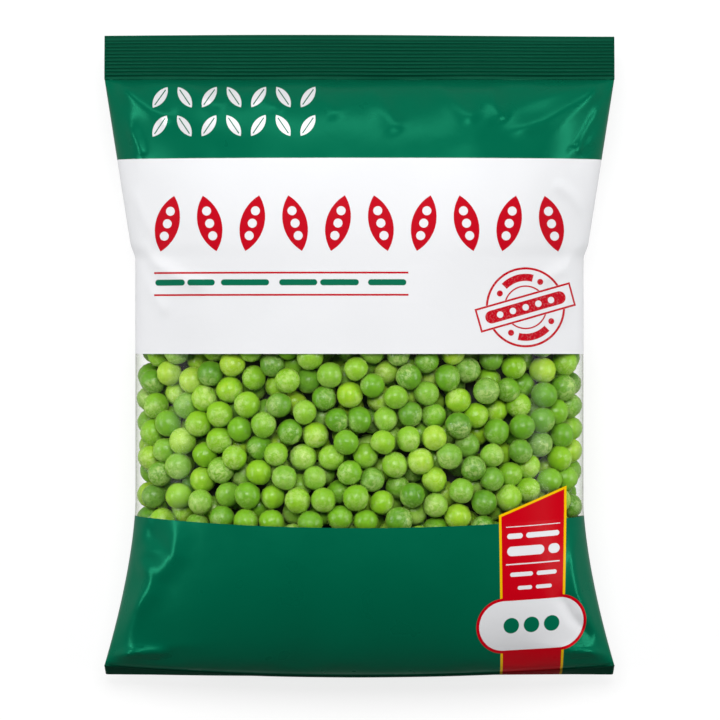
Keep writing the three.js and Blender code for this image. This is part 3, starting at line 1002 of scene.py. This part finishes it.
def ribbon_marks(x, y):
    """White rules and bars on the ribbon, where a pack gives its weight."""
    marks = filled(nearest_of(bar(x, y, *one) for one in RIBBON_RULES))
    for spans, low, high in RIBBON_BARS:
        marks = marks | small_bars(x, y, spans, low, high)
    return marks


def label(x, y, finish, colours, under):
    """The white place near the foot of the ribbon, with a red rim and three green discs."""
    box = pill(x, y, *LABEL_BOX)
    middle = (LABEL_BOX[2] + LABEL_BOX[3]) / 2
    across, _, stretch = row_of(x, *LABEL_DISCS)
    discs = filled((length_of(across, y - middle) - DISC_RADIUS) | stretch)
    colour = finish.blend(filled(box), under, colours.red)
    colour = finish.blend(filled(box + LABEL_RIM), colour, colours.white)
    return finish.blend(discs, colour, colours.green)


def film_place(finish):
    """Millimetres across and along the film, from its own print map."""
    print_map = finish.add("ShaderNodeUVMap", {"uv_map": "Print"})
    place = finish.add("ShaderNodeSeparateXYZ", values=(print_map,))
    return place * (1 / MM), place.other("Y") * (1 / MM)


def print_finish(colours):
    """The printed film: bands of colour and plain shapes under a satin sheet with fine wrinkles."""
    finish = Finish("printed film")
    x, y = film_place(finish)
    worn = finish.noise(900, 3).kept(0.36, 0.5)
    white_band = filled(abs(y - BAND_MIDDLE) - BAND_REACH)
    colour = finish.blend(white_band, colours.green, colours.white)
    upper_leaves, lower_leaves = (leaf_row(x, y, row) for row in LEAF_ROWS)
    colour = finish.blend(upper_leaves | lower_leaves, colour, colours.white)
    rules = filled(nearest_of(bar(x, y, *one) for one in RULES))
    red_marks = pod_row(x, y) | rules | stamp(x, y) * (0.92 + 0.08 * worn)
    colour = finish.blend(red_marks, colour, colours.ink)
    colour = finish.blend(small_bars(x, y, WORDS, *WORD_HEIGHTS), colour, colours.green)
    border, field = ribbon(x, y)
    colour = finish.blend(border, colour, colours.yellow)
    colour = finish.blend(field, colour, colours.red)
    colour = finish.blend(ribbon_marks(x, y), colour, colours.white)
    colour = label(x, y, finish, colours, colour)
    gleam = (1 - white_band) * (1 - (border | filled(pill(x, y, *LABEL_BOX))))
    past_root = (y - TOP_ROOT) | (BOTTOM_ROOT - y)
    seal = past_root.kept(-0.4, 0.4)
    # The seals are darker: partly the deeper colour of the doubled film, partly painted shade of the
    # crimp's ribs, darkest in the grooves between them.
    rib_groove_shade = abs((past_root - RIB_MARGIN) / RIB_PITCH % 1.0 - 0.5) * 2
    double_film_and_rib_shade = 1 - seal * (0.5 + 0.22 * rib_groove_shade)
    cloud = finish.noise(14, 2).kept(0.3, 0.7)
    tone = (0.97 + 0.05 * cloud) * double_film_and_rib_shade
    shade = finish.add("ShaderNodeHueSaturation", values={"Value": tone, "Color": colour})
    fine = finish.bump(finish.noise(1400, 2), 0.00002, 0.5)
    crinkle = finish.bump(finish.noise(75, 3, 0.45, 0.6), 0.0012, 0.16, Normal=fine)
    rough = 0.27 + 0.08 * finish.noise(60, 2).kept(0.3, 0.7) + 0.15 * seal + 0.2 * white_band
    shader = finish.surface(
        Base_Color=shade,
        Metallic=0.26 * gleam,
        Roughness=rough,
        Normal=crinkle,
        IOR=1.12,
    )
    return finish.done(shader)


def clear_finish(colours):
    """The clear film: shiny at a slant, tinted along the bag's sides partly by whitened film and partly
    by a painted rim sheen, with the ribbon's tip on it.
    """
    finish = Finish("clear film")
    x, y = film_place(finish)
    border, field = ribbon(x, y)
    ink = finish.blend(field, colours.yellow, colours.red)
    normal = finish.bump(finish.noise(48, 2, 0.5, 0.4), 0.0012, 0.12)
    # Along the bag's sides the film turns opaque and greenish grey: partly whitened film, partly a
    # painted sheen of the rim seen at a slant.
    side = (abs((abs(x - BACK_SHIFT / 2) - BACK_SHIFT / 2)) - TINT_START).kept(0, TINT_WIDTH)
    haze_and_rim_sheen = 0.001 + 0.006 * finish.noise(30, 3).kept(0.45, 0.8) + 0.2 * side**1.8
    sheet = finish.surface(Base_Color=colours.haze_and_rim_sheen, Roughness=0.35, Normal=normal, Alpha=haze_and_rim_sheen, IOR=1.45)
    gloss = finish.surface(Base_Color=(1.0, 1.0, 1.0), Metallic=1.0, Roughness=0.13, Normal=normal)
    slant = finish.add("ShaderNodeLayerWeight", values={"Blend": 0.5, "Normal": normal}, output="Facing")
    clear = finish.add("ShaderNodeMixShader", values=(0.002 + 0.32 * slant**5.0, sheet, gloss))
    printed = finish.surface(Base_Color=ink, Roughness=0.33, Normal=normal, IOR=1.08)
    return finish.done(finish.add("ShaderNodeMixShader", values=(border, clear, printed)))


def pea_finish(colours):
    """Frozen peas: fresh greens that differ from pea to pea, a satin skin and patches of frost, which on
    the lower sides also paint pale bounced light.
    """
    finish = Finish("peas")
    tone, veil, rime = (
        finish.add("ShaderNodeAttribute", {"attribute_name": name}, output="Fac")
        for name in ("tone", "veil", "rime")
    )
    mottle = finish.noise(260, 4, 0.6).kept(0.3, 0.7)
    stops = [(0.0, colours.deep), (0.35, colours.fresh), (0.75, colours.bright), (1.0, colours.yellow)]
    skin_tone = finish.ramp(tone * 0.85 + mottle * 0.15, stops)
    speckle = finish.noise(1300, 3, 0.6).kept(0.5, 0.75)
    streaks = finish.noise(330, 5, 0.7, 1.2).kept(0.44, 0.62)
    # The rime mask adds frost and, on each pea's lower side, painted bounced light.
    frost = rime * (0.04 + 0.5 * streaks) + veil * (0.05 + 0.12 * mottle)
    frost = (frost + speckle * (0.02 + 0.15 * rime)).kept()
    colour = finish.blend(frost, skin_tone, colours.frost)
    rough = 0.22 + 0.3 * frost + 0.05 * mottle
    lumps = finish.bump(finish.noise(420, 3, 0.55), 0.0006, 0.3)
    normal = finish.bump(speckle + streaks * rime, 0.0001, 0.5, Normal=lumps)
    shader = finish.surface(
        Base_Color=colour,
        Roughness=rough,
        Normal=normal,
        IOR=1.4,
        Sheen_Weight=0.2,
        Sheen_Roughness=0.4,
        Sheen_Tint=(0.75, 0.95, 0.15),
        Subsurface_Weight=0.1,
        Subsurface_Radius=[0.6, 1.0, 0.25],
        Subsurface_Scale=0.002,
    )
    return finish.done(shader)


DEEP_SHADOW = (0.004, 0.009, 0.002)


def core_finish(colours):
    """The shadowed peas deep inside, seen only through the gaps: deep green cells in near-black painted
    shadow.
    """
    finish = Finish("deep peas")
    values = {"Vector": finish.object_point(), "Scale": 75.0, "Randomness": 0.8}
    cells = finish.add("ShaderNodeTexVoronoi", values=values)
    colour = finish.blend(cells.kept(0.2, 0.6), colours.deep, DEEP_SHADOW)
    return finish.done(finish.surface(Base_Color=colour, Roughness=0.6))


RIM_STRENGTH = 0.32
FOOT_STRENGTH = 0.08


def studio_finish(strength):
    """Light from all round: none overhead, and a bright rim low down except towards the bag's foot."""
    finish = Finish("studio", "worlds")
    direction = finish.add("ShaderNodeTexCoord", output="Generated")
    way = finish.add("ShaderNodeSeparateXYZ", values=(direction,))
    height = way.other("Z")
    fade = 1 - height.kept(0.45, 0.8)
    low = height.kept(0.12, 0.0)
    rim = way.other("Y").kept(-0.5, -0.1) * RIM_STRENGTH + FOOT_STRENGTH
    power = fade * strength + low * (rim - strength)
    light = finish.add("ShaderNodeBackground", values={"Color": (1, 1, 1, 1), "Strength": power})
    return finish.done(light, "ShaderNodeOutputWorld")


def floor_finish(colour):
    """A plain floor that glows a little, so that it stays pale."""
    finish = Finish("floor")
    grain = finish.noise(6, 2).kept(0.3, 0.7)
    shade = finish.blend(grain, colour, tuple(c * 0.99 for c in colour))
    shader = finish.surface(
        Base_Color=shade,
        Roughness=0.75,
        Emission_Color=(1, 1, 1),
        Emission_Strength=0.77,
    )
    return finish.done(shader)


# The add-on

def colour_property(name, description, default):
    return FloatVectorProperty(
        name=name, description=description, subtype="COLOR", size=3, min=0, max=1, default=default
    )


def number_property(name, description, default, unit="POWER"):
    return FloatProperty(name=name, description=description, unit=unit, min=0, default=default)


class FilmSettings(bpy.types.PropertyGroup):
    """Colours of the film and its print"""

    green: colour_property("Green", "Ground colour of both printed ends", (0.0, 0.118, 0.059))
    white: colour_property("White", "White band and marks", (0.644, 0.649, 0.664))
    red: colour_property("Red", "Ribbon", (0.46, 0.0, 0.006))
    ink: colour_property("Ink", "Pods, rules and stamp", (0.42, 0.0, 0.008))
    yellow: colour_property("Yellow", "Border of the ribbon", (0.7, 0.42, 0.0))
    # The side tint: partly whitened film, partly a painted rim sheen.
    haze_and_rim_sheen: colour_property("Haze", "Tint of the clear film along the bag's sides", (0.42, 0.5, 0.28))


class PeaSettings(bpy.types.PropertyGroup):
    """Size and colours of the peas"""

    diameter: number_property("Diameter", "Mean diameter of a pea", 0.0138, "LENGTH")
    deep: colour_property("Deep", "Darkest peas", (0.055, 0.2, 0.008))
    fresh: colour_property("Fresh", "Usual peas", (0.14, 0.36, 0.012))
    bright: colour_property("Bright", "Lighter peas", (0.22, 0.46, 0.012))
    yellow: colour_property("Yellow", "Yellowish peas", (0.38, 0.58, 0.03))
    frost: colour_property("Frost", "Frost on the skins", (0.62, 0.74, 0.28))


class StageSettings(bpy.types.PropertyGroup):
    """Floor and lights"""

    floor: colour_property("Floor", "Colour of the floor", (0.2, 0.2, 0.2))
    ambient: number_property("Ambient", "Strength of the light all round", 0.12, "NONE")
    key: number_property("Key", "Power of the large light", 38.5)
    side: number_property("Side", "Power of each side light", 21.5)
    back: number_property("Back", "Power of the low light at the top", 12)


def settings(name):
    return getattr(bpy.context.scene, name)


def put_in(piece, material, node):
    """Gives a finished piece its material, sets it on the bag's body and hides the solid that it stands
    in for.
    """
    piece.data.materials.append(material)
    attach(piece, BODY)
    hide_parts(node)


class AddFilm(bpy.types.Operator):
    """Adds the film: two printed ends with their crimped seals, and the clear ring between them"""

    bl_idname = "pea_bag.add_film"
    bl_label = "Film"

    def execute(self, context):
        colours = settings("pea_bag_film")
        printed, clear = print_finish(colours), clear_finish(colours)
        upper = ("film_upper", WINDOW_TOP, TOP_ROOT, top_seal, UPPER_ROWS, 1)
        lower = ("film_lower", WINDOW_BOTTOM, BOTTOM_ROOT, bottom_seal, LOWER_ROWS, -1)
        for end in (upper, lower):
            put_in(film_end(*end), printed, "bag")
        put_in(film_middle("film_window"), clear, "bag")
        return {"FINISHED"}


class AddSeam(bpy.types.Operator):
    """Adds the lapped seam along the underside, printed at its ends and clear in the window"""

    bl_idname = "pea_bag.add_seam"
    bl_label = "Back Seam"

    def execute(self, context):
        strip = seam_strip("back_seam")
        put_in(strip, bpy.data.materials["printed film"], "bag")
        strip.data.materials.append(bpy.data.materials["clear film"])
        for face in strip.data.polygons:
            if WINDOW_BOTTOM < face.center.y / MM < WINDOW_TOP:
                face.material_index = 1
        return {"FINISHED"}


class AddPeas(bpy.types.Operator):
    """Adds the loose peas that the window shows, one mesh for all of them"""

    bl_idname = "pea_bag.add_peas"
    bl_label = "Peas"

    def execute(self, context):
        colours = settings("pea_bag_peas")
        diameter = colours.diameter / MM
        centres, radii = outer_peas(diameter)
        heap = pea_mesh("pea_heap", *nestle(centres, radii, diameter), len(centres))
        put_in(heap, pea_finish(colours), "peas")
        return {"FINISHED"}


class AddCore(bpy.types.Operator):
    """Adds the mass of peas behind the ones that show, painted dark as shadow"""

    bl_idname = "pea_bag.add_core"
    bl_label = "Pea Core"

    def execute(self, context):
        put_in(core_mesh("pea_core"), core_finish(settings("pea_bag_peas")), "peas")
        return {"FINISHED"}


CAMERA_CENTRE = (0.0003, -0.0022)
CAMERA_WIDTH = 0.37966
CAMERA_DISTANCE = 4.0
SENSOR_WIDTH = 36
VIEW_END = 20
FACE_HEIGHT = 0.045
FLOOR_SIZE = 8
FLOOR_DROP = 0.0004

# Each light: its place, its size and the setting that gives its power
LIGHTS = {
    "key_light": ((-0.05, 0.74, 2.12), (1.3, 0.7), "key"),
    "left_light": ((-1.7, 0.15, 0.95), (1.6, 0.48), "side"),
    "right_light": ((1.7, 0.15, 0.95), (1.6, 0.48), "side"),
    "back_light": ((0.0, 1.9, 0.95), (1.8, 0.5), "back"),
}


def softbox(name, place, size, power):
    """A rectangular light that faces the bag."""
    bpy.ops.object.light_add(type="AREA", location=place)
    light = bpy.context.object
    light.name = name
    light.data.shape = "RECTANGLE"
    light.data.size, light.data.size_y = size
    light.data.energy = power
    light.rotation_euler = light.location.to_track_quat("Z", "Y").to_euler()


class AddStage(bpy.types.Operator):
    """Adds the pale floor, the soft lights and the camera that looks straight down"""

    bl_idname = "pea_bag.add_stage"
    bl_label = "Stage"

    def execute(self, context):
        chosen = settings("pea_bag_stage")
        clean_start()
        bpy.ops.mesh.primitive_plane_add(size=FLOOR_SIZE, location=(0, 0, -FLOOR_DROP))
        floor = context.object
        floor.name = "floor"
        bpy.ops.object.transform_apply(location=True, rotation=True, scale=True)
        floor.data.materials.append(floor_finish(tuple(chosen.floor)))
        floor.visible_glossy = False
        for name, (place, size, power) in LIGHTS.items():
            softbox(name, place, size, getattr(chosen, power))
        context.scene.world = studio_finish(chosen.ambient)
        above = (*CAMERA_CENTRE, FACE_HEIGHT + CAMERA_DISTANCE)
        bpy.ops.object.camera_add(location=above, rotation=(0, 0, 0))
        camera = context.object
        camera.name = "camera"
        camera.data.sensor_width = SENSOR_WIDTH
        camera.data.lens = SENSOR_WIDTH * CAMERA_DISTANCE / CAMERA_WIDTH
        camera.data.clip_end = VIEW_END
        context.scene.camera = camera
        context.scene.view_settings.view_transform = "Standard"
        return {"FINISHED"}


OPERATORS = (AddFilm, AddSeam, AddPeas, AddCore, AddStage)


class PeaBagPanel(bpy.types.Panel):
    """Lists the pieces of the bag"""

    bl_idname = "VIEW3D_PT_pea_bag"
    bl_label = "Pea Bag"
    bl_space_type = "VIEW_3D"
    bl_region_type = "UI"
    bl_category = "Pea Bag"

    def draw(self, context):
        for kind in OPERATORS:
            self.layout.operator(kind.bl_idname)
        for name in GROUPS:
            group = settings(name)
            box = self.layout.box()
            for key in group.bl_rna.properties.keys():
                if key not in ("rna_type", "name"):
                    box.prop(group, key)


GROUPS = {"pea_bag_film": FilmSettings, "pea_bag_peas": PeaSettings, "pea_bag_stage": StageSettings}


def register():
    for kind in (*GROUPS.values(), *OPERATORS, PeaBagPanel):
        bpy.utils.register_class(kind)
    for name, group in GROUPS.items():
        setattr(bpy.types.Scene, name, PointerProperty(type=group))


def unregister():
    for name in GROUPS:
        delattr(bpy.types.Scene, name)
    for kind in reversed((*GROUPS.values(), *OPERATORS, PeaBagPanel)):
        bpy.utils.unregister_class(kind)


def main():
    register()
    bpy.ops.pea_bag.add_film()
    bpy.ops.pea_bag.add_seam()
    bpy.ops.pea_bag.add_peas()
    bpy.ops.pea_bag.add_core()
    bpy.ops.pea_bag.add_stage()


if __name__ == "__main__":
    main()
